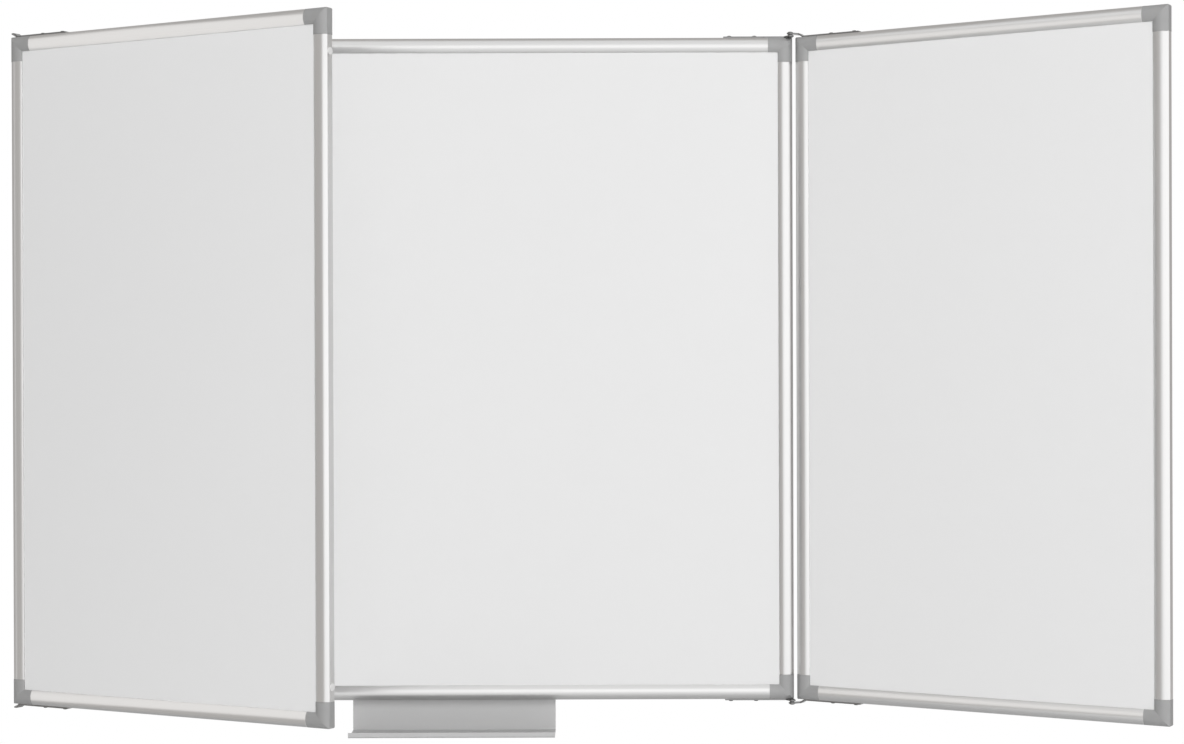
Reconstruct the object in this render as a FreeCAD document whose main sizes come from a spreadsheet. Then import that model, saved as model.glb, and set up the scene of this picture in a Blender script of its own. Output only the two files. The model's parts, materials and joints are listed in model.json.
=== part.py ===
import FreeCAD, Part
import Sketcher
import math
import os

# Wall-hung folding whiteboard: a framed centre board, a half-width wing hinged to each side of it
# and a pen tray that slides along its bottom rail.
# Row frame in millimetres: +Z up, the writing side faces -Y, the wall is the plane Y = 0, and the
# origin is the middle of the four wall screws.
# Each panel is drawn in its own frame, with Y = 0 on the crest of its front frame (centre board)
# or on the hinge axis (wings), and then placed.

os.makedirs("parts", exist_ok=True)
doc = FreeCAD.newDocument("FoldingWhiteboard")
sheet = doc.addObject("Spreadsheet::Sheet", "Sizes")

# Driving dimensions
SIZES = {
    # Centre board and the rails round every panel
    "board_width": 1172.0,
    "board_height": 1000.0,
    "rail_face": 22.0,
    "rail_depth": 23.0,
    "crest_inset": 12.0,
    "crest_radius": 15.5,
    "rail_wall": 1.4,
    "board_inset": 5.0,
    "edge_cover": 11.0,
    "slot_clearance": 0.6,
    "sheet_thickness": 0.6,
    # Corner pieces
    "corner_leg": 37.0,
    "corner_round": 1.2,
    "corner_rise": 0.4,
    "tongue_length": 14.0,
    "tongue_fit": 0.1,
    # Fixing to the wall
    "wall_gap": 3.0,
    "wall_screw_inset": 10.5,
    "wall_hole_radius": 2.75,
    "screw_seat_radius": 5.0,
    "screw_seat_depth": 8.0,
    "screw_boss_wall": 2.0,
    "cap_thickness": 2.0,
    "cap_recess": 0.3,
    "cap_fit": 0.1,
    "panel_clip": 12.0,
    # Hinges of the wings
    "pivot_inset": 3.5,
    "pivot_lead": 2.0,
    "wing_setoff": 5.0,
    "meeting_gap": 3.0,
    "wing_drop": 0.5,
    "strap_length": 104.0,
    "strap_thickness": 2.0,
    "strap_shoulder": 9.0,
    "joggle_length": 7.0,
    "eye_radius": 5.2,
    "pin_radius": 2.0,
    "pin_clearance": 0.05,
    "pin_head_radius": 3.8,
    "pin_head_height": 1.6,
    "washer_radius": 3.4,
    "washer_thickness": 1.9,
    "hinge_play": 0.1,
    "strap_screw_margin": 9.0,
    "strap_screw_clearance": 4.1,
    "strap_screw_radius": 1.9,
    "strap_screw_length": 7.0,
    "strap_screw_fit": 0.1,
    "screw_head_radius": 3.4,
    "screw_head_height": 1.8,
    "left_wing_angle": 151.2,
    "right_wing_angle": 31.9,
    # Bumpers on the left wing's free edge
    "bumper_radius": 5.2,
    "bumper_thickness": 1.2,
    "bumper_edge": 0.4,
    "top_bumper_inset": 60.0,
    "bottom_bumper_inset": 57.5,
    # Pen tray
    "tray_length": 308.0,
    "tray_offset": 71.0,
    "tray_drop": 47.8,
    "tray_reach": 80.0,
    "tray_lip": 8.2,
    "tray_sheet": 1.2,
    "tray_bend": 3.0,
    "tray_clearance": 0.15,
    "hook_reach": 7.0,
    "glide_length": 40.0,
    "glide_height": 12.0,
    "glide_thickness": 1.0,
    "glide_inset": 24.0,
}

# How far the outside of a strap's step lags behind its inside, as a share of the strap's thickness
STEP_LAG_share = 0.5


class Size:
    """A number together with the sheet expression that it comes from."""

    def __init__(self, value, text):
        self.value = value
        self.text = text

    def __add__(self, other):
        other = sized(other)
        return Size(self.value + other.value, f"({self.text} + {other.text})")

    def __sub__(self, other):
        other = sized(other)
        return Size(self.value - other.value, f"({self.text} - {other.text})")

    def __mul__(self, other):
        other = sized(other)
        return Size(self.value * other.value, f"({self.text} * {other.text})")

    def __truediv__(self, other):
        other = sized(other)
        return Size(self.value / other.value, f"({self.text} / {other.text})")

    def __neg__(self):
        return self * -1

    def __radd__(self, other):
        return sized(other) + self

    def __rsub__(self, other):
        return sized(other) - self

    def __rmul__(self, other):
        return sized(other) * self


def sized(thing):
    """The thing itself when it is a Size, otherwise the plain number as one."""
    return thing if isinstance(thing, Size) else Size(thing, repr(thing))


def root(size):
    """Square root of a size."""
    return Size(math.sqrt(size.value), f"sqrt({size.text})")


def fill_sheet():
    """Write the driving dimensions and hand them back by name."""
    sizes = {}
    for row, (name, value) in enumerate(SIZES.items(), start=1):
        sheet.set(f"A{row}", name)
        sheet.set(f"B{row}", str(value))
        sheet.setAlias(f"B{row}", name)
        sizes[name] = Size(value, f"Sizes.{name}")
    doc.recompute()
    return sizes


S = fill_sheet()
NODES = []


def bind(thing, key, size):
    """Give a property its value and tie it to the sheet."""
    size = sized(size)
    thing.setExpression(key, size.text)


def tie(sketch, kind, places, size):
    """Add a dimension to a sketch and tie it to the sheet."""
    size = sized(size)
    number = sketch.addConstraint(Sketcher.Constraint(kind, *places, size.value))
    sketch.setExpression(f"Constraints[{number}]", size.text)


def sketch_on(body, role, name, offset=None):
    """A sketch on one of the body's origin planes, moved along the plane's normal."""
    plane = next(item for item in body.Origin.OriginFeatures if item.Role == role)
    sketch = body.newObject("Sketcher::SketchObject", name)
    sketch.AttachmentSupport = [(plane, "")]
    sketch.MapMode = "FlatFace"
    if offset is not None:
        bind(sketch, "AttachmentOffset.Base.z", offset)
    return sketch


def arc_between(start, end, radius, turn):
    """The short arc from start to end: turn is 1 when it runs counter-clockwise, -1 when clockwise."""
    chord = end - start
    height = math.sqrt(max(radius**2 - (chord.Length / 2) ** 2, 0))
    left = FreeCAD.Vector(-chord.y, chord.x, 0).normalize()
    centre = (start + end) / 2 + left * height * turn
    first, last = (start, end) if turn > 0 else (end, start)
    angles = [math.atan2(spot.y - centre.y, spot.x - centre.x) for spot in (first, last)]
    circle = Part.Circle(centre, FreeCAD.Vector(0, 0, 1), radius)
    return Part.ArcOfCircle(circle, angles[0], angles[1])


def outline(sketch, spots):
    """Close a loop through spots (x, y); a spot (x, y, radius, turn) starts an arc to the next.

    A half turn lies along X and is held by the height of its centre, because both its ends are
    already held and its radius would say the same again.
    """
    spots = [(sized(spot[0]), sized(spot[1]), *spot[2:]) for spot in spots]
    flat = [FreeCAD.Vector(spot[0].value, spot[1].value, 0) for spot in spots]
    ends = []
    for number, spot in enumerate(spots):
        start = flat[number]
        end = flat[(number + 1) % len(flat)]
        if len(spot) == 2:
            edge = sketch.addGeometry(Part.LineSegment(start, end))
            ends.append((edge, 1, 2))
            continue
        edge = sketch.addGeometry(arc_between(start, end, spot[2].value, spot[3]))
        ends.append((edge, 1, 2) if spot[3] > 0 else (edge, 2, 1))
    for number, (edge, begin, finish) in enumerate(ends):
        following, start, _ = ends[(number + 1) % len(ends)]
        sketch.addConstraint(Sketcher.Constraint("Coincident", edge, finish, following, start))
    for number, spot in enumerate(spots):
        edge, begin, _ = ends[number]
        tie(sketch, "DistanceX", (-1, 1, edge, begin), spot[0])
        tie(sketch, "DistanceY", (-1, 1, edge, begin), spot[1])
        if len(spot) == 2:
            continue
        chord = flat[(number + 1) % len(flat)] - flat[number]
        if math.isclose(chord.Length, 2 * spot[2].value):
            tie(sketch, "DistanceY", (-1, 1, edge, 3), spot[1])
        else:
            tie(sketch, "Radius", (edge,), spot[2])


def ring(sketch, x, y, radius):
    """A circle in a sketch."""
    x = sized(x)
    y = sized(y)
    middle = FreeCAD.Vector(x.value, y.value, 0)
    edge = sketch.addGeometry(Part.Circle(middle, FreeCAD.Vector(0, 0, 1), radius.value))
    tie(sketch, "DistanceX", (-1, 1, edge, 3), x)
    tie(sketch, "DistanceY", (-1, 1, edge, 3), y)
    tie(sketch, "Radius", (edge,), radius)


def pad(body, name, sketch, length, middle=False, back=False):
    """Extrude a sketch: along its normal, to both sides of it, or backwards."""
    feature = body.newObject("PartDesign::Pad", name)
    feature.Profile = sketch
    feature.SideType = "Symmetric" if middle else "One side"
    feature.Reversed = back
    bind(feature, "Length", length)
    sketch.Visibility = False
    return feature


def pocket(body, name, sketch, length=None, back=False):
    """Cut a sketch out of the body: to a depth, or right through both ways."""
    feature = body.newObject("PartDesign::Pocket", name)
    feature.Profile = sketch
    if length is None:
        feature.SideType = "Symmetric"
        feature.Type = "ThroughAll"
    else:
        feature.Reversed = back
        bind(feature, "Length", length)
    sketch.Visibility = False
    return feature


def new_body(label):
    """An empty body that will be one node."""
    return doc.addObject("PartDesign::Body", f"body_{label}")


def keep(thing, label, placement):
    """Name a finished piece, put it in its place and list it for export."""
    thing.Label = label
    thing.Placement = placement
    NODES.append(thing)


# Sizes that follow from the driving ones
DEPTH = S["rail_depth"]
FACE = S["rail_face"]
RADIUS = S["crest_radius"]
WALL = S["rail_wall"]
SIDE_DROP = RADIUS - root(RADIUS * RADIUS - S["crest_inset"] * S["crest_inset"])
LIP_RUN = FACE - S["crest_inset"]
LIP_DROP = RADIUS - root(RADIUS * RADIUS - LIP_RUN * LIP_RUN)
PANEL_EDGE = FACE - S["edge_cover"]
SLOT_END = PANEL_EDGE - S["slot_clearance"]
CHAMBER_END = SLOT_END - WALL
INNER_RADIUS = RADIUS - WALL
CHAMBER_RUN = S["crest_inset"] - WALL
CHAMBER_TAIL = S["crest_inset"] - CHAMBER_END
CHAMBER_DROP = RADIUS - root(INNER_RADIUS * INNER_RADIUS - CHAMBER_RUN * CHAMBER_RUN)
CHAMBER_PEAK = RADIUS - root(INNER_RADIUS * INNER_RADIUS - CHAMBER_TAIL * CHAMBER_TAIL)
PANEL_BACK = DEPTH - S["board_inset"]
HALF_WIDTH = S["board_width"] / 2
HALF_HEIGHT = S["board_height"] / 2
PIVOT_X = HALF_WIDTH - S["pivot_inset"]
WING_NEAR = S["wing_setoff"]
WING_FAR = PIVOT_X - S["meeting_gap"] / 2
WING_HALF_HEIGHT = HALF_HEIGHT - S["wing_drop"]
FRONT_Y = -(DEPTH + S["wall_gap"])
PIVOT_Y = FRONT_Y - S["pivot_lead"]
PLUG_END = S["corner_leg"] + S["tongue_length"]
FIRST_SCREW = PLUG_END + S["strap_screw_clearance"] + S["strap_screw_radius"]
LAST_SCREW = S["strap_length"] - S["strap_screw_margin"]
STRAP_SCREW_STEPS = (FIRST_SCREW, LAST_SCREW)


class Panel:
    """A framed panel: the X and the names of its two sides, its half height and its front crest."""

    def __init__(self, name, low, high, sides, half_height, front, placement):
        self.name = name
        self.low = low
        self.high = high
        self.sides = sides
        self.half_height = half_height
        self.front = front
        self.placement = placement


def placed(x, y, angle=0.0):
    """A placement at x, y, turned about the vertical."""
    turn = FreeCAD.Rotation(FreeCAD.Vector(0, 0, 1), angle)
    return FreeCAD.Placement(FreeCAD.Vector(x.value, y.value, 0), turn)


CENTRE = Panel("centre", -HALF_WIDTH, HALF_WIDTH, ("left", "right"), HALF_HEIGHT,
               sized(0), placed(sized(0), FRONT_Y))
LEFT = Panel("left_wing", -WING_FAR, -WING_NEAR, ("free", "hinge"), WING_HALF_HEIGHT,
             S["pivot_lead"], placed(-PIVOT_X, PIVOT_Y, S["left_wing_angle"].value))
RIGHT = Panel("right_wing", WING_NEAR, WING_FAR, ("hinge", "free"), WING_HALF_HEIGHT,
              S["pivot_lead"], placed(PIVOT_X, PIVOT_Y, -S["right_wing_angle"].value))


def rail_section(front, rise=0):
    """Outside of a rail as (distance in from the panel's edge, depth), with its slot for the panel.

    A rise lifts both rounded faces: the corner pieces stand proud of the rails by that much.
    """
    return [
        (sized(0), front + SIDE_DROP - rise, RADIUS),
        (FACE, front + LIP_DROP - rise),
        (FACE, front + S["board_inset"]),
        (SLOT_END, front + S["board_inset"]),
        (SLOT_END, front + PANEL_BACK),
        (FACE, front + PANEL_BACK),
        (FACE, front + DEPTH - LIP_DROP + rise, RADIUS),
        (sized(0), front + DEPTH - SIDE_DROP + rise),
    ]


def chamber_section(front):
    """Hollow of a rail beside its slot."""
    return [
        (WALL, front + CHAMBER_DROP, INNER_RADIUS),
        (CHAMBER_END, front + CHAMBER_PEAK),
        (CHAMBER_END, front + DEPTH - CHAMBER_PEAK, INNER_RADIUS),
        (WALL, front + DEPTH - CHAMBER_DROP),
    ]


def tongue_section(front):
    """Plug of a corner piece that fills the hollow of a rail."""
    fit = S["tongue_fit"]
    return [
        (WALL + fit, front + CHAMBER_DROP + fit),
        (CHAMBER_END - fit, front + CHAMBER_DROP + fit),
        (CHAMBER_END - fit, front + DEPTH - CHAMBER_DROP - fit),
        (WALL + fit, front + DEPTH - CHAMBER_DROP - fit),
    ]


def across(section, edge, way):
    """A section seen along Z: the panel's edge is at X = edge and its inside lies the way given."""
    return [
        (edge + way * spot[0], spot[1], *((spot[2], way) if len(spot) > 2 else ()))
        for spot in section
    ]


def upright(section, edge, way):
    """A section seen along X: the panel's edge is at Z = edge and its inside lies the way given."""
    return [
        (spot[1], edge + way * spot[0], *((spot[2], -way) if len(spot) > 2 else ()))
        for spot in section
    ]


def vertical_rail(panel, side, edge, way):
    """A rail down the left or right side of a panel."""
    label = f"{panel.name}_rail_{side}"
    body = new_body(label)
    length = 2 * (panel.half_height - S["corner_leg"])
    profile = sketch_on(body, "XY_Plane", f"profile_{label}")
    outline(profile, across(rail_section(panel.front), edge, way))
    outline(profile, across(chamber_section(panel.front), edge, way))
    pad(body, f"bar_{label}", profile, length, middle=True)
    keep(body, label, panel.placement)


def strap_screw_places(panel):
    """X of the strap screws along the top or bottom of a panel, measured from its hinge sides."""
    places = []
    if panel is not RIGHT:
        edge, way = (panel.high, -1) if panel is LEFT else (panel.low, 1)
        places += [edge + way * step for step in STRAP_SCREW_STEPS]
    if panel is not LEFT:
        edge, way = (panel.low, 1) if panel is RIGHT else (panel.high, -1)
        places += [edge + way * step for step in STRAP_SCREW_STEPS]
    return places


def horizontal_rail(panel, side, way):
    """A rail along the top or bottom of a panel, drilled for the strap screws."""
    label = f"{panel.name}_rail_{side}"
    edge = panel.half_height * -way
    body = new_body(label)
    start = panel.low + S["corner_leg"]
    length = panel.high - panel.low - 2 * S["corner_leg"]
    profile = sketch_on(body, "YZ_Plane", f"profile_{label}", start)
    outline(profile, upright(rail_section(panel.front), edge, way))
    outline(profile, upright(chamber_section(panel.front), edge, way))
    pad(body, f"bar_{label}", profile, length)
    holes = sketch_on(body, "XY_Plane", f"holes_{label}", edge)
    radius = S["strap_screw_radius"] + S["strap_screw_fit"]
    for place in strap_screw_places(panel):
        ring(holes, place, panel.front + DEPTH / 2, radius)
    pocket(body, f"drilling_{label}", holes, WALL + S["slot_clearance"], back=way > 0)
    keep(body, label, panel.placement)


def corner_piece(panel, across_name, up_name, x_edge, x_way, z_way, screwed):
    """A grey corner: a mitred L of the rails' outline, with a plug for each rail."""
    label = f"{panel.name}_corner_{up_name}_{across_name}"
    z_edge = panel.half_height * -z_way
    leg = S["corner_leg"]
    body = new_body(label)
    path = sketch_on(body, "XZ_Plane", f"path_{label}", -panel.front)
    spots = [(x_edge + x_way * leg, z_edge), (x_edge, z_edge), (x_edge, z_edge + z_way * leg)]
    flat = [FreeCAD.Vector(x.value, z.value, 0) for x, z in spots]
    for start, end in zip(flat, flat[1:]):
        path.addGeometry(Part.LineSegment(start, end))
    path.addConstraint(Sketcher.Constraint("Coincident", 0, 2, 1, 1))
    for (edge, end), (x, z) in zip(((0, 1), (0, 2), (1, 2)), spots):
        tie(path, "DistanceX", (-1, 1, edge, end), x)
        tie(path, "DistanceY", (-1, 1, edge, end), z)
    profile = sketch_on(body, "YZ_Plane", f"profile_{label}", x_edge + x_way * leg)
    outline(profile, upright(rail_section(panel.front, S["corner_rise"]), z_edge, z_way))
    sweep = body.newObject("PartDesign::AdditivePipe", f"legs_{label}")
    sweep.Profile = profile
    sweep.Spine = (path, ["Edge1", "Edge2"])
    sweep.Transition = "Right corner"
    lift = leg - S["tongue_length"]
    plug_x = sketch_on(body, "YZ_Plane", f"plug_x_{label}", x_edge + x_way * lift)
    outline(plug_x, upright(tongue_section(panel.front), z_edge, z_way))
    pad(body, f"tongue_x_{label}", plug_x, 2 * S["tongue_length"], back=x_way < 0)
    plug_z = sketch_on(body, "XY_Plane", f"plug_z_{label}", z_edge + z_way * lift)
    outline(plug_z, across(tongue_section(panel.front), x_edge, x_way))
    pad(body, f"tongue_z_{label}", plug_z, 2 * S["tongue_length"], back=z_way < 0)
    if screwed:
        wall_screw_boss(body, label, panel, x_edge, z_edge, x_way, z_way)
    rounding = sketch_on(body, "XZ_Plane", f"rounding_{label}")
    radius = S["corner_round"]
    outline(rounding, [
        (x_edge, z_edge),
        (x_edge + x_way * radius, z_edge, radius, x_way * z_way),
        (x_edge, z_edge + z_way * radius),
    ])
    pocket(body, f"rounded_{label}", rounding)
    keep(body, label, panel.placement)


def wall_screw_boss(body, label, panel, x_edge, z_edge, x_way, z_way):
    """A hollow post through a corner: it holds the wall screw and stands the board off the wall."""
    x = x_edge + x_way * S["wall_screw_inset"]
    z = z_edge + z_way * S["wall_screw_inset"]
    back = panel.front + DEPTH + S["wall_gap"]
    post = sketch_on(body, "XZ_Plane", f"post_{label}", -back)
    ring(post, x, z, S["screw_seat_radius"] + S["screw_boss_wall"])
    pad(body, f"boss_{label}", post, back - panel.front - S["board_inset"] / 2)
    hole = sketch_on(body, "XZ_Plane", f"hole_{label}")
    ring(hole, x, z, S["wall_hole_radius"])
    pocket(body, f"screw_hole_{label}", hole)
    seat = sketch_on(body, "XZ_Plane", f"seat_{label}", S["corner_rise"] - panel.front)
    ring(seat, x, z, S["screw_seat_radius"])
    pocket(body, f"screw_seat_{label}", seat, S["screw_seat_depth"])


def panel_layer(panel, label, near, far, clipped):
    """One layer of a panel between two depths, its corners clipped where wall screws pass."""
    body = new_body(label)
    profile = sketch_on(body, "XZ_Plane", f"profile_{label}", -(panel.front + far))
    left = panel.low + PANEL_EDGE
    right = panel.high - PANEL_EDGE
    top = panel.half_height - PANEL_EDGE
    clip = S["panel_clip"]
    if clipped:
        spots = [
            (left + clip, -top), (right - clip, -top), (right, clip - top), (right, top - clip),
            (right - clip, top), (left + clip, top), (left, top - clip), (left, clip - top),
        ]
    else:
        spots = [(left, -top), (right, -top), (right, top), (left, top)]
    outline(profile, spots)
    pad(body, f"layer_{label}", profile, far - near)
    keep(body, label, panel.placement)


def panel_layers(panel, back_name):
    """Steel sheet, core and back sheet of a panel."""
    clipped = panel is CENTRE
    near = S["board_inset"]
    skin = S["sheet_thickness"]
    panel_layer(panel, f"{panel.name}_writing_surface", near, near + skin, clipped)
    panel_layer(panel, f"{panel.name}_core", near + skin, PANEL_BACK - skin, clipped)
    panel_layer(panel, f"{panel.name}_{back_name}", PANEL_BACK - skin, PANEL_BACK, clipped)


def framed_panel(panel, back_name):
    """A panel with its four rails and four corner pieces."""
    panel_layers(panel, back_name)
    low_side, high_side = panel.sides
    for side, edge, way in ((low_side, panel.low, 1), (high_side, panel.high, -1)):
        vertical_rail(panel, side, edge, way)
        for level, rise in (("top", -1), ("bottom", 1)):
            corner_piece(panel, side, level, edge, way, rise, panel is CENTRE)
    for level, rise in (("top", -1), ("bottom", 1)):
        horizontal_rail(panel, level, rise)


def grouped(label, pieces, placement):
    """Several like pieces in one node, each its own solid."""
    group = doc.addObject("Part::Compound", f"group_{label}")
    group.Links = pieces
    keep(group, label, placement)


def cylinder(name, radius, height, x, y, z, down=False):
    """An upright cylinder whose base is at x, y, z; down turns it to point the other way."""
    item = doc.addObject("Part::Cylinder", name)
    bind(item, "Radius", radius)
    bind(item, "Height", height)
    for key, place in (("x", x), ("y", y), ("z", z if not down else z - height)):
        bind(item, f"Placement.Base.{key}", place)
    return item


def fused(name, pieces):
    """Pieces that are one solid."""
    item = doc.addObject("Part::MultiFuse", name)
    item.Shapes = pieces
    return item


def centre_strap(side, level, way, rise):
    """A flat hinge strap on the centre board's edge, with an eye reaching in front of it."""
    label = f"centre_strap_{level}_{side}"
    body = new_body(label)
    thick = S["strap_thickness"]
    base = rise * HALF_HEIGHT
    sketch = sketch_on(body, "XY_Plane", f"plan_{label}", base)
    pivot = way * PIVOT_X
    eye = S["eye_radius"]
    lead = -S["pivot_lead"]
    outline(sketch, [
        (pivot - way * eye, lead),
        (pivot - way * S["strap_shoulder"], SIDE_DROP),
        (way * HALF_WIDTH - way * S["strap_length"], SIDE_DROP),
        (way * HALF_WIDTH - way * S["strap_length"], DEPTH - SIDE_DROP),
        (pivot, DEPTH - SIDE_DROP),
        (pivot + way * eye, lead, eye, -way),
    ])
    pad(body, f"plate_{label}", sketch, thick, back=rise < 0)
    holes = sketch_on(body, "XY_Plane", f"holes_{label}", base)
    ring(holes, pivot, lead, S["pin_radius"])
    for step in STRAP_SCREW_STEPS:
        place = way * (HALF_WIDTH - step)
        ring(holes, place, DEPTH / 2, S["strap_screw_radius"] + S["strap_screw_fit"])
    pocket(body, f"drilling_{label}", holes)
    keep(body, label, CENTRE.placement)


def wing_strap(panel, level, way, rise):
    """A hinge strap on a wing's edge: it steps outward over the centre strap's eye."""
    label = f"{panel.name}_strap_{level}"
    body = new_body(label)
    thick = S["strap_thickness"]
    inner = rise * WING_HALF_HEIGHT
    outer = rise * (HALF_HEIGHT + thick + S["washer_thickness"] + S["hinge_play"])
    step_start = S["strap_shoulder"]
    step_end = step_start + S["joggle_length"]
    far = WING_NEAR + S["strap_length"]
    near_y = panel.front + SIDE_DROP
    width = DEPTH - 2 * SIDE_DROP
    side = sketch_on(body, "XZ_Plane", f"side_{label}", -(near_y + width))
    outline(side, [
        (way * step_start, outer),
        (way * step_end, inner),
        (way * far, inner),
        (way * far, inner + rise * thick),
        (way * (step_end + thick * STEP_LAG_share), inner + rise * thick),
        (way * (step_start + thick * STEP_LAG_share), outer + rise * thick),
        (way * S["eye_radius"], outer + rise * thick),
        (way * S["eye_radius"], outer),
    ])
    pad(body, f"bar_{label}", side, width)
    eye = S["eye_radius"]
    plan = sketch_on(body, "XY_Plane", f"plan_{label}", outer)
    outline(plan, [
        (way * eye, sized(0)),
        (way * step_start, near_y),
        (way * step_start, near_y + width),
        (way * eye, near_y + width),
        (-way * eye, sized(0), eye, way),
    ])
    pad(body, f"eye_{label}", plan, thick, back=rise < 0)
    holes = sketch_on(body, "XY_Plane", f"holes_{label}", outer)
    ring(holes, sized(0), sized(0), S["pin_radius"] + S["pin_clearance"])
    for step in STRAP_SCREW_STEPS:
        place = way * (WING_NEAR + step)
        ring(holes, place, panel.front + DEPTH / 2, S["strap_screw_radius"] + S["strap_screw_fit"])
    pocket(body, f"drilling_{label}", holes)
    keep(body, label, panel.placement)


def strap_screws(panel):
    """Every strap screw of a panel: a round head on the strap and a shank in the rail."""
    screws = []
    top = S["strap_thickness"]
    for rise in (1, -1):
        for number, x in enumerate(strap_screw_places(panel)):
            name = f"screw_{panel.name}_{'top' if rise > 0 else 'bottom'}_{number}"
            y = panel.front + DEPTH / 2
            seat = rise * (panel.half_height + top)
            head = cylinder(f"{name}_head", S["screw_head_radius"], S["screw_head_height"],
                            x, y, seat, down=rise < 0)
            shank = cylinder(f"{name}_shank", S["strap_screw_radius"], S["strap_screw_length"],
                             x, y, seat, down=rise > 0)
            screws.append(fused(name, [head, shank]))
    grouped(f"{panel.name}_strap_screws", screws, panel.placement)


def hinge_pins():
    """Four rivets, each with a head outside the wing's strap and a tail under the centre's strap."""
    pins = []
    washers = []
    thick = S["strap_thickness"]
    stack = 2 * thick + S["washer_thickness"] + 2 * S["hinge_play"]
    lead = -S["pivot_lead"]
    for way, side in ((-1, "left"), (1, "right")):
        for rise, level in ((1, "top"), (-1, "bottom")):
            name = f"{level}_{side}"
            x = way * PIVOT_X
            under = rise * HALF_HEIGHT
            over = under + rise * stack
            shank = cylinder(f"pin_{name}", S["pin_radius"], stack, x, lead, under, down=rise < 0)
            head = cylinder(f"pin_head_{name}", S["pin_head_radius"], S["pin_head_height"],
                            x, lead, over, down=rise < 0)
            tail = cylinder(f"pin_tail_{name}", S["pin_head_radius"], S["pin_head_height"],
                            x, lead, under, down=rise > 0)
            pins.append(fused(f"rivet_{name}", [shank, head, tail]))
            disc = cylinder(f"disc_{name}", S["washer_radius"], S["washer_thickness"],
                            x, lead, under + rise * thick, down=rise < 0)
            bore = cylinder(f"bore_{name}", S["pin_radius"], S["washer_thickness"],
                            x, lead, under + rise * thick, down=rise < 0)
            washer = doc.addObject("Part::Cut", f"washer_{name}")
            washer.Base = disc
            washer.Tool = bore
            washers.append(washer)
    grouped("hinge_pins", pins, CENTRE.placement)
    grouped("hinge_washers", washers, CENTRE.placement)


def screw_caps():
    """Round caps that close the four wall screw seats from the front."""
    body_radius = S["screw_seat_radius"] - S["cap_fit"]
    for side, way in (("left", 1), ("right", -1)):
        for level, rise in (("top", -1), ("bottom", 1)):
            label = f"wall_screw_cap_{level}_{side}"
            x = -way * HALF_WIDTH + way * S["wall_screw_inset"]
            z = -rise * HALF_HEIGHT + rise * S["wall_screw_inset"]
            body = new_body(label)
            back = S["cap_recess"] + S["cap_thickness"]
            profile = sketch_on(body, "XZ_Plane", f"profile_{label}", -back)
            ring(profile, x, z, body_radius)
            pad(body, f"disc_{label}", profile, S["cap_thickness"])
            keep(body, label, CENTRE.placement)


def edge_bumpers():
    """Two round bumpers on the left wing's free edge, which meets the right wing when both close."""
    for level, rise, inset in (
        ("top", 1, S["top_bumper_inset"]),
        ("bottom", -1, S["bottom_bumper_inset"]),
    ):
        label = f"left_wing_bumper_{level}"
        body = new_body(label)
        profile = sketch_on(body, "YZ_Plane", f"profile_{label}", LEFT.low)
        z = rise * (WING_HALF_HEIGHT - inset)
        ring(profile, LEFT.front + DEPTH / 2, z, S["bumper_radius"])
        disc = pad(body, f"disc_{label}", profile, S["bumper_thickness"], back=True)
        doc.recompute()
        rim = body.newObject("PartDesign::Fillet", f"rim_{label}")
        rim.Base = (disc, [outer_edge(disc.Shape)])
        bind(rim, "Radius", S["bumper_edge"])
        keep(body, label, LEFT.placement)


def outer_edge(shape):
    """Name of the round edge that lies furthest towards -X."""
    round_edges = [
        (edge.CenterOfMass.x, number)
        for number, edge in enumerate(shape.Edges, start=1)
        if edge.Curve.TypeId == "Part::GeomCircle"
    ]
    return f"Edge{min(round_edges)[1]}"


def pen_tray():
    """A bent sheet that hooks over the back of the bottom rail and reaches forward as a shelf."""
    label = "pen_tray"
    body = new_body(label)
    thick = S["tray_sheet"]
    bend = S["tray_bend"]
    play = S["tray_clearance"]
    plate = DEPTH + play + S["glide_thickness"]
    rear = plate + thick
    hook = -HALF_HEIGHT + FACE + play
    shelf = -HALF_HEIGHT - S["tray_drop"]
    front = rear - S["tray_reach"]
    inner = bend - thick
    profile = sketch_on(body, "YZ_Plane", f"profile_{label}",
                        S["tray_offset"] - S["tray_length"] / 2)
    outline(profile, [
        (rear - S["hook_reach"], hook),
        (plate, hook),
        (plate, shelf + inner, inner, -1),
        (plate - inner, shelf),
        (front + thick + inner, shelf, inner, -1),
        (front + thick, shelf + inner),
        (front + thick, shelf - thick + S["tray_lip"]),
        (front, shelf - thick + S["tray_lip"]),
        (front, shelf - thick + bend, bend, 1),
        (front + bend, shelf - thick),
        (rear - bend, shelf - thick, bend, 1),
        (rear, shelf - thick + bend),
        (rear, hook + thick),
        (rear - S["hook_reach"], hook + thick),
    ])
    pad(body, f"sheet_{label}", profile, S["tray_length"])
    keep(body, label, CENTRE.placement)


def tray_glides():
    """Two plastic glides between the tray's upright and the back of the bottom rail."""
    middle = S["tray_offset"]
    reach = S["tray_length"] / 2 - S["glide_inset"] - S["glide_length"]
    for side, start in (("left", middle - reach - S["glide_length"]), ("right", middle + reach)):
        item = doc.addObject("Part::Box", f"glide_{side}")
        bind(item, "Length", S["glide_length"])
        bind(item, "Width", S["glide_thickness"])
        bind(item, "Height", S["glide_height"])
        base = FreeCAD.Vector(start.value, (FRONT_Y + DEPTH + S["tray_clearance"]).value, 0)
        keep(item, f"tray_glide_{side}", FreeCAD.Placement(base, FreeCAD.Rotation()))
        bind(item, "Placement.Base.x", start)
        bind(item, "Placement.Base.y", FRONT_Y + DEPTH + S["tray_clearance"])
        bind(item, "Placement.Base.z", -HALF_HEIGHT + S["crest_inset"] - S["glide_height"] / 2)


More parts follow.
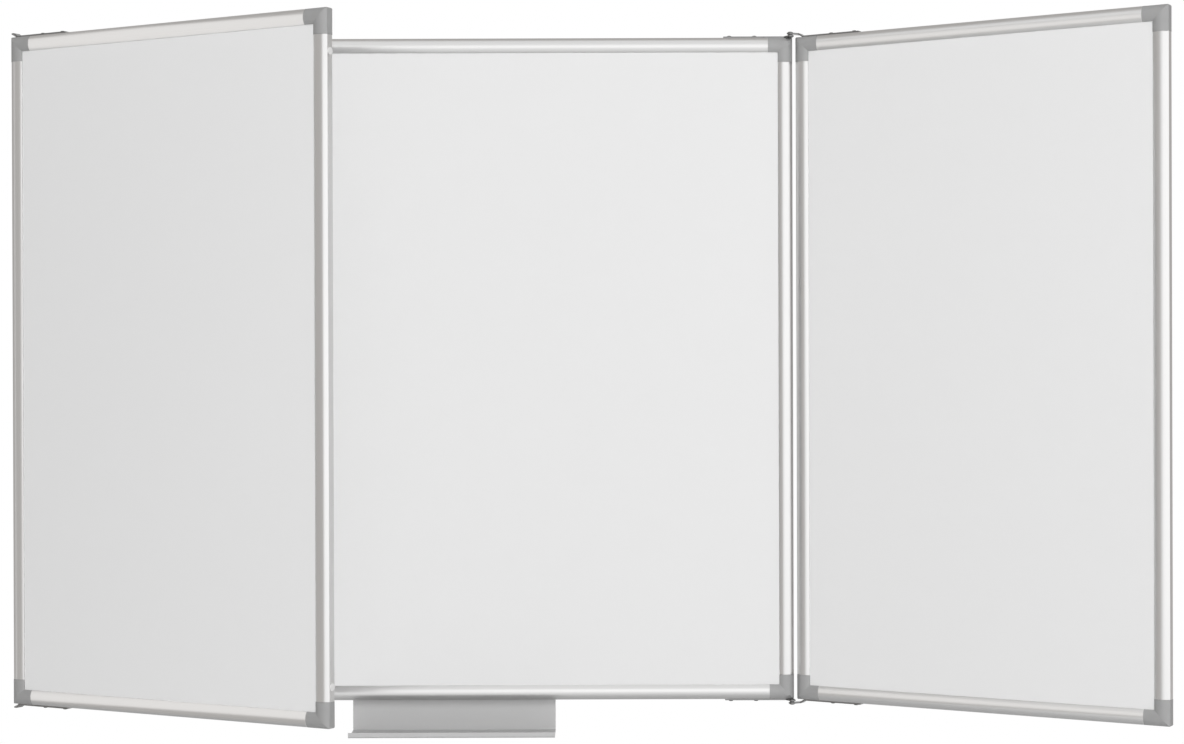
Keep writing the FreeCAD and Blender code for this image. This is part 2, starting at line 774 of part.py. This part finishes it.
def check_and_write():
    """Stop on any failed object or bad shape, then write one file for each node."""
    doc.recompute()
    for item in doc.Objects:
        if "Invalid" in item.State or "Error" in item.State:
            raise RuntimeError(f"{item.Label} failed: {item.State}")
    for item in NODES:
        if item.Shape.isNull() or not item.Shape.isValid():
            raise RuntimeError(f"{item.Label} has no valid shape")
    for item in NODES:
        item.Shape.exportStep(f"parts/{item.Label}.step")
    print(len(NODES), "nodes written")


def main():
    """Build every piece, then check and write them."""
    framed_panel(CENTRE, "backing_sheet")
    framed_panel(LEFT, "back_surface")
    framed_panel(RIGHT, "back_surface")
    for rise, level in ((1, "top"), (-1, "bottom")):
        centre_strap("left", level, -1, rise)
        centre_strap("right", level, 1, rise)
        wing_strap(LEFT, level, -1, rise)
        wing_strap(RIGHT, level, 1, rise)
    for panel in (CENTRE, LEFT, RIGHT):
        strap_screws(panel)
    hinge_pins()
    screw_caps()
    edge_bumpers()
    pen_tray()
    tray_glides()
    check_and_write()


main()
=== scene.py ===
import json
import math

import bmesh
import bpy
from mathutils import Euler, Matrix, Vector

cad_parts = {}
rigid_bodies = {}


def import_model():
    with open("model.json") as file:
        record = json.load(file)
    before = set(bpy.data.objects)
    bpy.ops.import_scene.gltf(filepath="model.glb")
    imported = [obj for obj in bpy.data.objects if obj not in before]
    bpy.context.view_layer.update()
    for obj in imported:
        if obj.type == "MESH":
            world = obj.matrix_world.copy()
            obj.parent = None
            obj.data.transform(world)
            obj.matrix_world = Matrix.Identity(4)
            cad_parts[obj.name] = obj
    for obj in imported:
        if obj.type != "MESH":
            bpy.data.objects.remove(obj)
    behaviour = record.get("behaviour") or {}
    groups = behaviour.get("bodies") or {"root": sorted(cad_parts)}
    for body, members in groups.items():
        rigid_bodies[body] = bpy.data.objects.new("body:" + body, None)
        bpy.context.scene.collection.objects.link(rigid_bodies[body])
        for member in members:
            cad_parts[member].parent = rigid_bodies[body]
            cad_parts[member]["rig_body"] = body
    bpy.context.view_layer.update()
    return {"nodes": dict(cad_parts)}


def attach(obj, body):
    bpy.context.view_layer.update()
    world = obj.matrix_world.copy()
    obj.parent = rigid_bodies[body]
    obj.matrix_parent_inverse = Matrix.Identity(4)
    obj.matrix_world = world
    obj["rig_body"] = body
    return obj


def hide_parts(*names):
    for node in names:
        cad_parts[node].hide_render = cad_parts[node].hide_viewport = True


# Wall-hung folding whiteboard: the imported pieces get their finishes, and the pieces whose small forms
# show from close by, such as screws, rivets and rounded edges, are modelled over them.
# Metres, in the row frame: +Z up, the writing side faces -Y, the wall is the plane Y = 0.

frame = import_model()
nodes = frame["nodes"]

MM = 0.001
DEG = math.pi / 180

# The photograph's camera, from straight edges measured in it, with its small turns in radians; its
# axis meets the picture a little below the middle
PHOTO_WIDTH_px = 1184
FOCAL_LENGTH_px = 2353
AXIS_DROP_px = 21.75
SENSOR_WIDTH_mm = 36.0
CAMERA_PLACE = Vector((0.2807, -3.5792, -0.0268))
CAMERA_RIGHT_TURN = 0.0003
CAMERA_LIFT = -0.003
CAMERA_ROLL = -0.00314
NEAREST_SEEN = 0.1
FARTHEST_SEEN = 100.0

# How far each panel is turned at rest, which is also how its patterns lie
WING_TURN = {"centre": 0.0, "left_wing": 151.2 * DEG, "right_wing": -31.9 * DEG}

# Whiteness of the enamel of each panel, matched to the photograph under these lamps: the wings' enamel is
# painted lighter than the centre's, a painted brightening that makes up for the lamps lighting the wings'
# turned faces less
ENAMEL_LEVEL_WITH_PAINTED_LIGHT = {"centre": 0.84, "left_wing": 0.90, "right_wing": 0.88}

# Vertices nearer than the weld become one, faces within the flat angle become one, and edges sharper
# than the sharp angle are rounded
WELD = 0.001 * MM
FLAT_ANGLE = 0.5 * DEG
SHARP_ANGLE = 35 * DEG
EDGE_RADIUS = {"rail": 0.35 * MM, "strap": 0.4 * MM, "tray": 0.3 * MM}
EDGE_SEGMENTS = 2
TURNED_STEPS = 40
DOME_STEPS = 6

# Solids of a node are put in order by their places, to this many digits of a metre
ORDER_DIGITS = 5

# Sockets that go by number, because a node has several of one name
MIX_SHARE = 0
MIX_FIRST_COLOUR = 6
MIX_SECOND_COLOUR = 7
MIX_COLOUR_OUTPUT = 2
MIX_FIRST_SHADER = 1
MIX_SECOND_SHADER = 2


class Shade:
    """A socket in a node tree, or only the tree, to start from; sums and the like add Math nodes."""

    def __init__(self, tree, socket=None):
        self.tree = tree
        self.socket = socket

    def node(self, kind, settings=None, inputs=None, output=0):
        """Add any node: its settings first, then the values or links of its sockets."""
        made = self.tree.nodes.new(kind)
        for name, value in (settings or {}).items():
            setattr(made, name, value)
        for name, value in (inputs or {}).items():
            if isinstance(value, Shade):
                self.tree.links.new(value.socket, made.inputs[name])
            else:
                made.inputs[name].default_value = value
        return Shade(self.tree, made.outputs[output]) if made.outputs else None

    def also(self, output):
        """Another output of the same node."""
        return Shade(self.tree, self.socket.node.outputs[output])

    def math(self, operation, first, second):
        """A Math node of two values, each a shade or a number."""
        return self.node("ShaderNodeMath", {"operation": operation}, {0: first, 1: second})

    def __add__(self, other):
        return self.math("ADD", self, other)

    def __radd__(self, other):
        return self.math("ADD", other, self)

    def __sub__(self, other):
        return self.math("SUBTRACT", self, other)

    def __rsub__(self, other):
        return self.math("SUBTRACT", other, self)

    def __mul__(self, other):
        return self.math("MULTIPLY", self, other)

    def __rmul__(self, other):
        return self.math("MULTIPLY", other, self)

    def between(self, first, second):
        """The colour that runs from first to second as this shade runs from 0 to 1."""
        inputs = {MIX_SHARE: self, MIX_FIRST_COLOUR: first, MIX_SECOND_COLOUR: second}
        return self.node("ShaderNodeMix", {"data_type": "RGBA"}, inputs, MIX_COLOUR_OUTPUT)

    def noise(self, scale, detail=2.0, roughness=0.5):
        """Cloudy noise from 0 to 1, with this shade as its place."""
        inputs = {"Vector": self, "Scale": scale, "Detail": detail, "Roughness": roughness}
        return self.node("ShaderNodeTexNoise", {"noise_dimensions": "3D"}, inputs)

    def mapped(self, **values):
        """This place turned or stretched by a Mapping node."""
        return self.node("ShaderNodeMapping", {"vector_type": "POINT"}, {"Vector": self, **values})

    def turned(self, angle, stretch):
        """This place turned about the vertical, then stretched along its axes."""
        return self.mapped(Rotation=(0.0, 0.0, angle)).mapped(Scale=stretch)

    def bump(self, strength, depth):
        """The surface normal that this height gives."""
        inputs = {"Strength": strength, "Distance": depth, "Height": self}
        return self.node("ShaderNodeBump", {}, inputs)


def finish(name, **constants):
    """A new material whose shader has these constants, and the Object coordinates to paint it with."""
    material = bpy.data.materials.new(name)
    material.use_nodes = True
    tree = material.node_tree
    shader = tree.nodes["Principled BSDF"]
    for socket, value in constants.items():
        shader.inputs[socket.replace("_", " ")].default_value = value
    return material, shader, Shade(tree).node("ShaderNodeTexCoord", output="Object")


def paint(shader, **shades):
    """Link what changes over a surface to its shader."""
    for socket, shade in shades.items():
        shade.tree.links.new(shade.socket, shader.inputs[socket.replace("_", " ")])


def grey(level, warmth=0.0):
    """A grey as a colour; warmth lifts red and drops blue by that share."""
    return (level * (1 + warmth), level, level * (1 - warmth), 1.0)


def writing_enamel(turn, level):
    """White enamel on steel: a faint ripple, and a haze where it has been wiped."""
    material, shader, place = finish("writing_enamel", Specular_IOR_Level=0.4)
    wiped = place.turned(-turn, stretch=(2.0, 1.0, 7.0)).noise(scale=1.6, detail=4.0, roughness=0.6)
    cloud = place.noise(scale=1.3)
    ripple = place.noise(scale=420.0)
    paint(shader,
          # the level is set lighter on the wings than on the centre as painted light, for the light that
          # the lamps give them less; the cloud's small swing is the enamel's own tone
          Base_Color=cloud.between(grey(level - 0.01), grey(level + 0.01)),
          Roughness=0.3 + 0.12 * wiped,
          Normal=ripple.bump(strength=0.05, depth=0.05 * MM))
    return material


def rail_aluminium(turn, upright):
    """Satin anodised aluminium with the fine lines that the die draws along a rail."""
    material, shader, place = finish("rail_aluminium", Metallic=1.0)
    along = 3.0
    across = 2600.0
    stretch = (across, across, along) if upright else (along, across, across)
    lines = place.turned(-turn, stretch).noise(scale=1.0, detail=3.0, roughness=0.6)
    cloud = place.noise(scale=9.0)
    paint(shader,
          Base_Color=lines.between(grey(0.67, warmth=0.006), grey(0.73, warmth=0.003)),
          Roughness=0.22 + 0.10 * lines + 0.06 * cloud,
          Normal=lines.bump(strength=0.2, depth=0.02 * MM))
    return material


def corner_plastic():
    """Silver-grey moulded plastic: a fine metallic flake under a spark-eroded grain."""
    material, shader, place = finish("corner_plastic", Metallic=0.2, Specular_IOR_Level=0.3)
    grain = place.noise(scale=2600.0, roughness=0.6)
    cloud = place.noise(scale=60.0)
    paint(shader,
          Base_Color=cloud.between(grey(0.38), grey(0.415)),
          Roughness=0.42 + 0.14 * grain,
          Normal=grain.bump(strength=0.35, depth=0.03 * MM))
    return material


def plated_steel(name, low, high, roughness):
    """Zinc-plated steel: soft mottling from the bath and short handling scuffs."""
    material, shader, place = finish(name, Metallic=1.0)
    mottle = place.noise(scale=220.0, detail=4.0, roughness=0.65)
    scuffs = place.turned(0.0, stretch=(900.0, 900.0, 140.0)).noise(scale=1.0)
    paint(shader,
          Base_Color=mottle.between(grey(low, warmth=-0.01), grey(high, warmth=0.01)),
          Roughness=roughness + 0.12 * mottle + 0.08 * scuffs,
          Normal=scuffs.bump(strength=0.15, depth=0.01 * MM))
    return material


def backing_steel():
    """Galvanised backing sheet with its flat crystals."""
    material, shader, place = finish("backing_steel", Metallic=1.0)
    crystals = place.node("ShaderNodeTexVoronoi", {"voronoi_dimensions": "3D", "feature": "F1"},
                          {"Vector": place, "Scale": 95.0, "Randomness": 1.0}, "Color")
    level = crystals.node("ShaderNodeSeparateColor", {"mode": "RGB"}, {"Color": crystals})
    haze = place.noise(scale=5.0, detail=3.0)
    pattern = 0.7 * level + 0.3 * haze
    paint(shader,
          Base_Color=pattern.between(grey(0.50, warmth=-0.01), grey(0.60, warmth=-0.01)),
          Roughness=0.38 + 0.14 * level)
    return material


def core_board():
    """Pressed fibre board of the panels' cores."""
    material, shader, place = finish("core_board", Specular_IOR_Level=0.2)
    fibres = place.turned(0.0, stretch=(1.0, 1.0, 3.0)).noise(scale=500.0, detail=4.0, roughness=0.7)
    dark_fibre = (0.30, 0.20, 0.12, 1.0)
    pale_fibre = (0.46, 0.33, 0.21, 1.0)
    paint(shader,
          Base_Color=fibres.between(dark_fibre, pale_fibre),
          Roughness=0.75 + 0.15 * fibres)
    return material


def tray_metal():
    """Satin grey powder coat of the pen tray, with a fine fleck."""
    material, shader, place = finish("tray_metal", Metallic=0.15, Specular_IOR_Level=0.3)
    fleck = place.noise(scale=1800.0, roughness=0.7)
    cloud = place.noise(scale=11.0)
    paint(shader,
          Base_Color=fleck.between(grey(0.53), grey(0.60)),
          Roughness=0.38 + 0.08 * cloud + 0.06 * fleck,
          Normal=fleck.bump(strength=0.15, depth=0.01 * MM))
    return material


def soft_plastic(name, level, roughness):
    """Pale moulded plastic of the bumpers and the tray's glides."""
    material, shader, place = finish(name, Specular_IOR_Level=0.45)
    grain = place.noise(scale=1400.0)
    cloud = place.noise(scale=130.0)
    paint(shader,
          Base_Color=cloud.between(grey(level * 0.96, warmth=0.01), grey(level, warmth=0.005)),
          Roughness=roughness + 0.12 * grain,
          Normal=grain.bump(strength=0.2, depth=0.02 * MM))
    return material


def panel_of(node):
    """The panel that a node's name starts with; the tray, rivets and washers count as the centre."""
    return next((panel for panel in WING_TURN if node.startswith(panel)), "centre")


def make_finishes():
    """Every finish, by the name that finish_of looks up."""
    finishes = {
        "corner_plastic": corner_plastic(),
        # The hinge steel is set dark and the fasteners darkest: partly the plating's own grey, partly
        # painted shade and painted dark reflection that stand in for the shadowed gaps and dark
        # surroundings of the hinges
        "strap_steel": plated_steel("strap_steel", low=0.20, high=0.30, roughness=0.20),
        "fastener_steel": plated_steel("fastener_steel", low=0.09, high=0.15, roughness=0.24),
        "backing_steel": backing_steel(),
        "core_board": core_board(),
        "tray_metal": tray_metal(),
        "bumper_rubber": soft_plastic("bumper_rubber", level=0.86, roughness=0.40),
        "glide_plastic": soft_plastic("glide_plastic", level=0.74, roughness=0.45),
    }
    for panel, turn in WING_TURN.items():
        # each panel gets its own copy of the enamel, lighter on the wings as painted light
        finishes[f"writing_enamel_{panel}"] = writing_enamel(turn, ENAMEL_LEVEL_WITH_PAINTED_LIGHT[panel])
        finishes[f"rail_aluminium_{panel}_upright"] = rail_aluminium(turn, upright=True)
        finishes[f"rail_aluminium_{panel}_level"] = rail_aluminium(turn, upright=False)
    return finishes


def finish_of(node, slot):
    """The finish for a node in a slot: rails have one for each way that they run."""
    panel = panel_of(node)
    if slot == "writing_enamel":
        return FINISHES[f"{slot}_{panel}"]
    if slot == "rail_aluminium":
        way = "level" if node.endswith(("top", "bottom")) else "upright"
        return FINISHES[f"{slot}_{panel}_{way}"]
    return FINISHES[slot]


FINISHES = make_finishes()
SLOT_OF = {name: node.data.materials[0].name for name, node in nodes.items()}


def dress_nodes():
    """Give every CAD node its finish."""
    for name, node in nodes.items():
        node.material_slots[0].material = finish_of(name, SLOT_OF[name])


def object_from(mesh, name):
    """A new object in the scene from a bmesh, which is used up."""
    data = bpy.data.meshes.new(name)
    mesh.to_mesh(data)
    mesh.free()
    made = bpy.data.objects.new(name, data)
    bpy.context.scene.collection.objects.link(made)
    return made


def piece_from(mesh, name, node):
    """A new piece from a bmesh, with the slot and the body of the CAD node that it belongs to."""
    piece = object_from(mesh, name)
    piece.data.materials.append(finish_of(node, SLOT_OF[node]))
    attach(piece, nodes[node]["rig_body"])
    return piece


def rounded_copy(node, name, radius):
    """A node's shape with its sharp edges rounded, which stands for the node."""
    mesh = bmesh.new()
    mesh.from_mesh(nodes[node].data)
    bmesh.ops.remove_doubles(mesh, verts=mesh.verts, dist=WELD)
    bmesh.ops.dissolve_limit(mesh, angle_limit=FLAT_ANGLE, verts=mesh.verts, edges=mesh.edges)
    sharp = [edge for edge in mesh.edges
             if edge.is_manifold and edge.calc_face_angle() > SHARP_ANGLE]
    bmesh.ops.bevel(mesh, geom=sharp, affect="EDGES", offset=radius, offset_type="OFFSET",
                    segments=EDGE_SEGMENTS, profile=0.5, material=-1, clamp_overlap=True)
    for face in mesh.faces:
        face.smooth = True
    piece = piece_from(mesh, name, node)
    piece.modifiers.new("even shading", "WEIGHTED_NORMAL")
    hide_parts(node)


def round_edges():
    """Rails, straps and the tray with the small radii of drawn, stamped and bent metal."""
    for node in sorted(nodes):
        if "_rail_" in node:
            rounded_copy(node, f"{node}_drawn", EDGE_RADIUS["rail"])
        elif "_strap_" in node and not node.endswith("screws"):
            rounded_copy(node, f"{node}_stamped", EDGE_RADIUS["strap"])
    rounded_copy("pen_tray", "pen_tray_bent", EDGE_RADIUS["tray"])


def solid_boxes(node):
    """Lowest and highest corner of each separate solid in a CAD node, in a steady order."""
    mesh = bmesh.new()
    mesh.from_mesh(nodes[node].data)
    bmesh.ops.remove_doubles(mesh, verts=mesh.verts, dist=WELD)
    seen = set()
    boxes = []
    for start in mesh.verts:
        if start in seen:
            continue
        seen.add(start)
        island = [start]
        for vert in island:
            fresh = {edge.other_vert(vert) for edge in vert.link_edges} - seen
            seen |= fresh
            island += fresh
        low = Vector([min(vert.co[axis] for vert in island) for axis in range(3)])
        high = Vector([max(vert.co[axis] for vert in island) for axis in range(3)])
        boxes.append((low, high))
    mesh.free()
    return sorted(boxes, key=lambda box: [round(value, ORDER_DIGITS) for value in box[0]])


def turned_part(profile):
    """A closed turned shape about Z from a profile of (radius, height) that starts and ends on Z."""
    mesh = bmesh.new()
    verts = [mesh.verts.new((radius, 0.0, height)) for radius, height in profile]
    edges = [mesh.edges.new(pair) for pair in zip(verts, verts[1:])]
    bmesh.ops.spin(mesh, geom=verts + edges, cent=(0, 0, 0), axis=(0, 0, 1), dvec=(0, 0, 0),
                   angle=2 * math.pi, steps=TURNED_STEPS, use_merge=True)
    bmesh.ops.remove_doubles(mesh, verts=mesh.verts, dist=WELD)
    bmesh.ops.recalc_face_normals(mesh, faces=mesh.faces)
    for face in mesh.faces:
        face.smooth = True
    return mesh


# Strap screws: the head's height and the shank's radius as in the node, a domed head that starts at
# the rim's share of its height, and a cross recess
SCREW_HEAD_HEIGHT = 1.8 * MM
SCREW_SHANK_RADIUS = 1.9 * MM
HEAD_RIM_SHARE = 0.4
RECESS_LENGTH = 3.6 * MM
RECESS_WIDTH = 0.9 * MM
RECESS_DEPTH = 1.1 * MM

# Each screw is driven home at another angle
SCREW_TURN = 37 * DEG


def dome(radius, low, high):
    """Profile points of a dome from its rim to its top."""
    angles = [step / DOME_STEPS * math.pi / 2 for step in range(DOME_STEPS + 1)]
    return [(radius * math.cos(angle), low + (high - low) * math.sin(angle)) for angle in angles]


def screw_shape(radius, length):
    """A pan-head screw about Z, its head's seat at Z = 0 and its head upwards."""
    rim = SCREW_HEAD_HEIGHT * HEAD_RIM_SHARE
    profile = [(0.0, -length), (SCREW_SHANK_RADIUS, -length), (SCREW_SHANK_RADIUS, 0.0),
               (radius, 0.0), *dome(radius, rim, SCREW_HEAD_HEIGHT)]
    screw = turned_part(profile)
    cutter = bmesh.new()
    for turn in (0.0, math.pi / 2):
        place = (Matrix.Translation((0, 0, SCREW_HEAD_HEIGHT)) @ Matrix.Rotation(turn, 4, "Z")
                 @ Matrix.Diagonal((RECESS_LENGTH, RECESS_WIDTH, 2 * RECESS_DEPTH, 1.0)))
        bmesh.ops.create_cube(cutter, size=1.0, matrix=place)
    return cut(screw, cutter)


def cut(body, cutter):
    """The body less the cutter, as a new bmesh."""
    objects = [object_from(mesh, "workpiece") for mesh in (body, cutter)]
    boolean = objects[0].modifiers.new("recess", "BOOLEAN")
    boolean.operation = "DIFFERENCE"
    boolean.solver = "EXACT"
    boolean.use_self = True
    boolean.object = objects[1]
    bpy.context.view_layer.update()
    result = bmesh.new()
    result.from_object(objects[0], bpy.context.evaluated_depsgraph_get())
    for item in objects:
        bpy.data.objects.remove(item)
    return result


def strap_screws():
    """A real screw for each plain one in the three groups."""
    for panel in WING_TURN:
        node = f"{panel}_strap_screws"
        for number, (low, high) in enumerate(solid_boxes(node), start=1):
            middle = (low + high) / 2
            length = high.z - low.z - SCREW_HEAD_HEIGHT
            way = 1 if middle.z > 0 else -1
            top = high.z if way > 0 else low.z
            seat = Vector((middle.x, middle.y, top - way * SCREW_HEAD_HEIGHT))
            mesh = screw_shape((high.x - low.x) / 2, length)
            spin = Matrix.Rotation(number * SCREW_TURN, 4, "Z")
            flip = Matrix.Rotation(0.0 if way > 0 else math.pi, 4, "X")
            bmesh.ops.transform(mesh, verts=mesh.verts, matrix=Matrix.Translation(seat) @ flip @ spin)
            piece = piece_from(mesh, f"{panel}_strap_screw_{number}", node)
            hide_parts(node)


# Rivets of the hinges
RIVET_HEAD_HEIGHT = 1.6 * MM
RIVET_SHANK_RADIUS = 2.0 * MM


def rivets():
    """The four hinge rivets with a domed head at each end."""
    node = "hinge_pins"
    for number, (low, high) in enumerate(solid_boxes(node), start=1):
        middle = (low + high) / 2
        radius = (high.x - low.x) / 2
        half = (high.z - low.z) / 2
        inner = half - RIVET_HEAD_HEIGHT
        rim = RIVET_HEAD_HEIGHT * HEAD_RIM_SHARE
        upper = [(RIVET_SHANK_RADIUS, inner), (radius, inner), *dome(radius, inner + rim, half)]
        lower = [(across, -height) for across, height in reversed(upper)]
        mesh = turned_part(lower + upper)
        bmesh.ops.translate(mesh, verts=mesh.verts, vec=middle)
        piece = piece_from(mesh, f"hinge_rivet_{number}", node)
        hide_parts(node)


def seen_ray(start):
    """1 for rays that show a background, directly or in metal and clear plastic, and 0 for the rest."""
    camera_ray = start.node("ShaderNodeLightPath", output="Is Camera Ray")
    glossy_ray = camera_ray.also("Is Glossy Ray")
    passing_ray = camera_ray.also("Is Transmission Ray")
    return start.math("MAXIMUM", camera_ray, start.math("MAXIMUM", glossy_ray, passing_ray))


# How strongly the surround lights matt surfaces; where it is seen or reflected it is plain white
AMBIENT = 0.35

# Lamps: their middle, the point that they face, their width and height, their strength for each part
# of that area, and what they light: surfaces as matt ones, or only the gloss on them, which is mostly
# metal, or only the gloss on the level rails
BOARD_MIDDLE = (0.25, -0.1, 0.0)
LAMPS = {
    "tall_softbox": {"place": (1.05, -6.5, 1.9), "faces": BOARD_MIDDLE, "size": (1.0, 5.4),
                     "level": 15.7, "lights": "matt"},
    "front_card": {"place": (2.6, -4.8, 0.2), "faces": BOARD_MIDDLE, "size": (9.4, 3.8),
                   "level": 0.4, "lights": "metal"},
    "rear_softbox": {"place": (0.25, 4.6, 1.2), "faces": BOARD_MIDDLE, "size": (4.4, 3.4),
                     "level": 2.5, "lights": "matt"},
    "side_card": {"place": (-0.84, -1.34, 0.18), "faces": (0.6, -1.34, 0.18), "size": (2.5, 1.7),
                  "level": 0.5, "lights": "level rails"},
}

# Grey flags that give the metal its darker edges: their middle, their size, the direction that they
# face, and their grey, a little warm
RIGHTWARDS = (1.0, 0.0, 0.0)
LEFTWARDS = (-1.0, 0.0, 0.0)
DOWNWARDS = (0.0, 0.0, -1.0)
FLAGS = {
    "left_flag": {"place": (-4.6, 7.7, 0.5), "size": (15.0, 8.0), "towards": RIGHTWARDS, "level": 0.48},
    "near_flag": {"place": (-0.85, -1.34, 0.0), "size": (2.5, 2.6), "towards": RIGHTWARDS, "level": 0.56},
    "right_flag": {"place": (5.6, 5.2, 0.5), "size": (8.0, 8.0), "towards": LEFTWARDS, "level": 0.5},
    "top_flag": {"place": (0.5, 2.0, 4.6), "size": (11.0, 7.0), "towards": DOWNWARDS, "level": 0.52},
}
FLAG_WARMTH = 0.03


def studio():
    """A white surround and large soft lamps."""
    world = bpy.data.worlds.new("surround")
    bpy.context.scene.world = world
    world.use_nodes = True
    tree = world.node_tree
    tree.nodes.clear()
    start = Shade(tree)
    light = seen_ray(start) * (1.0 - AMBIENT) + AMBIENT
    shine = start.node("ShaderNodeBackground", {}, {"Color": grey(1.0), "Strength": light})
    start.node("ShaderNodeOutputWorld", {}, {"Surface": shine})
    for name, made in LAMPS.items():
        lamp = bpy.data.lights.new(name, "AREA")
        lamp.shape = "RECTANGLE"
        lamp.size, lamp.size_y = made["size"]
        lamp.energy = made["level"] * math.pi * lamp.size * lamp.size_y
        holder = bpy.data.objects.new(name, lamp)
        holder.location = made["place"]
        holder.rotation_mode = "QUATERNION"
        holder.rotation_quaternion = (holder.location - Vector(made["faces"])).to_track_quat("Z", "Y")
        holder.visible_camera = False
        holder.visible_glossy = made["lights"] != "matt"
        holder.visible_diffuse = made["lights"] == "matt"
        if made["lights"] == "level rails":
            holder.light_linking.receiver_collection = level_rails()
        bpy.context.scene.collection.objects.link(holder)


def level_rails():
    """The rails that lie level, whose drawn lines run across those of the upright ones."""
    group = bpy.data.collections.new("level_rails")
    for piece in bpy.context.scene.objects:
        if "_rail_top_drawn" in piece.name or "_rail_bottom_drawn" in piece.name:
            group.objects.link(piece)
    return group


def flags():
    """Grey cards beside, behind and above the board, which only its reflections show."""
    for name, made in FLAGS.items():
        mesh = bmesh.new()
        turn = Vector(made["towards"]).to_track_quat("Z", "Y").to_matrix().to_4x4()
        size = Matrix.Diagonal((*made["size"], 1.0, 1.0))
        bmesh.ops.create_grid(mesh, size=0.5, matrix=Matrix.Translation(made["place"]) @ turn @ size)
        card = stage_piece(mesh, name)
        card.visible_camera = False
        card.visible_diffuse = False
        card.visible_shadow = False
        material = bpy.data.materials.new(name)
        material.use_nodes = True
        tree = material.node_tree
        plain = Shade(tree).node("ShaderNodeEmission", {},
                                 {"Color": grey(made["level"], FLAG_WARMTH), "Strength": 1.0})
        tree.links.new(plain.socket, tree.nodes["Material Output"].inputs["Surface"])
        card.data.materials.append(material)


def stage_piece(mesh, name):
    """A piece of the studio from a bmesh."""
    piece = object_from(mesh, name)
    return piece


# The floor turns white between the two fade distances from the origin, and in the metal's
# reflections also between the two shine distances in front of the wall
FLOOR_LEVEL = -1.5
FLOOR_RADIUS = 30.0
FLOOR_SIDES = 96
FLOOR_FADE_START = 2.2
FLOOR_FADE_END = 5.2
FLOOR_SHINE_START = 0.0
FLOOR_SHINE_END = 2.6


def floor():
    """A round floor that keeps the board's shadow near it and runs out into the white surround."""
    mesh = bmesh.new()
    bmesh.ops.create_circle(mesh, cap_ends=True, segments=FLOOR_SIDES, radius=FLOOR_RADIUS,
                            matrix=Matrix.Translation((0, 0, FLOOR_LEVEL)))
    ground = stage_piece(mesh, "floor")
    material, shader, place = finish("floor", Roughness=0.9, Specular_IOR_Level=0.1)
    cloud = place.noise(scale=3.0, detail=3.0)
    paint(shader, Base_Color=cloud.between(grey(0.69), grey(0.73)))
    tree = material.node_tree
    start = Shade(tree)
    reach = start.node("ShaderNodeVectorMath", {"operation": "LENGTH"},
                       {"Vector": place.mapped(Scale=(1.0, 1.0, 0.0))}, "Value")
    fade = start.node("ShaderNodeMapRange", {"interpolation_type": "SMOOTHSTEP"},
                      {"Value": reach, "From Min": FLOOR_FADE_START, "From Max": FLOOR_FADE_END})
    forward = -1.0 * start.node("ShaderNodeSeparateXYZ", {}, {"Vector": place}, "Y")
    shine = start.node("ShaderNodeMapRange", {"interpolation_type": "SMOOTHSTEP"},
                       {"Value": forward, "From Min": FLOOR_SHINE_START, "From Max": FLOOR_SHINE_END})
    in_metal = start.node("ShaderNodeLightPath", output="Is Glossy Ray")
    white_share = start.math("MAXIMUM", fade * seen_ray(start), shine * in_metal)
    white = start.node("ShaderNodeEmission", {}, {"Color": grey(1.0), "Strength": 1.0})
    matt = Shade(tree, shader.outputs["BSDF"])
    both = start.node("ShaderNodeMixShader", {},
                      {MIX_SHARE: white_share, MIX_FIRST_SHADER: matt, MIX_SECOND_SHADER: white})
    tree.links.new(both.socket, tree.nodes["Material Output"].inputs["Surface"])
    ground.data.materials.append(material)


def camera():
    """The photograph's camera."""
    lens = bpy.data.cameras.new("camera")
    lens.sensor_width = SENSOR_WIDTH_mm
    lens.lens = FOCAL_LENGTH_px / PHOTO_WIDTH_px * SENSOR_WIDTH_mm
    lens.shift_y = AXIS_DROP_px / PHOTO_WIDTH_px
    lens.clip_start = NEAREST_SEEN
    lens.clip_end = FARTHEST_SEEN
    holder = bpy.data.objects.new("camera", lens)
    look = Euler((math.pi / 2 + CAMERA_LIFT, 0.0, -CAMERA_RIGHT_TURN)).to_matrix()
    roll = Matrix.Rotation(CAMERA_ROLL, 3, "Z")
    holder.rotation_mode = "QUATERNION"
    holder.rotation_quaternion = (look @ roll).to_quaternion()
    holder.location = CAMERA_PLACE
    bpy.context.scene.collection.objects.link(holder)
    bpy.context.scene.camera = holder


dress_nodes()
round_edges()
strap_screws()
rivets()
studio()
flags()
floor()
camera()
bpy.context.scene.view_settings.view_transform = "Standard"
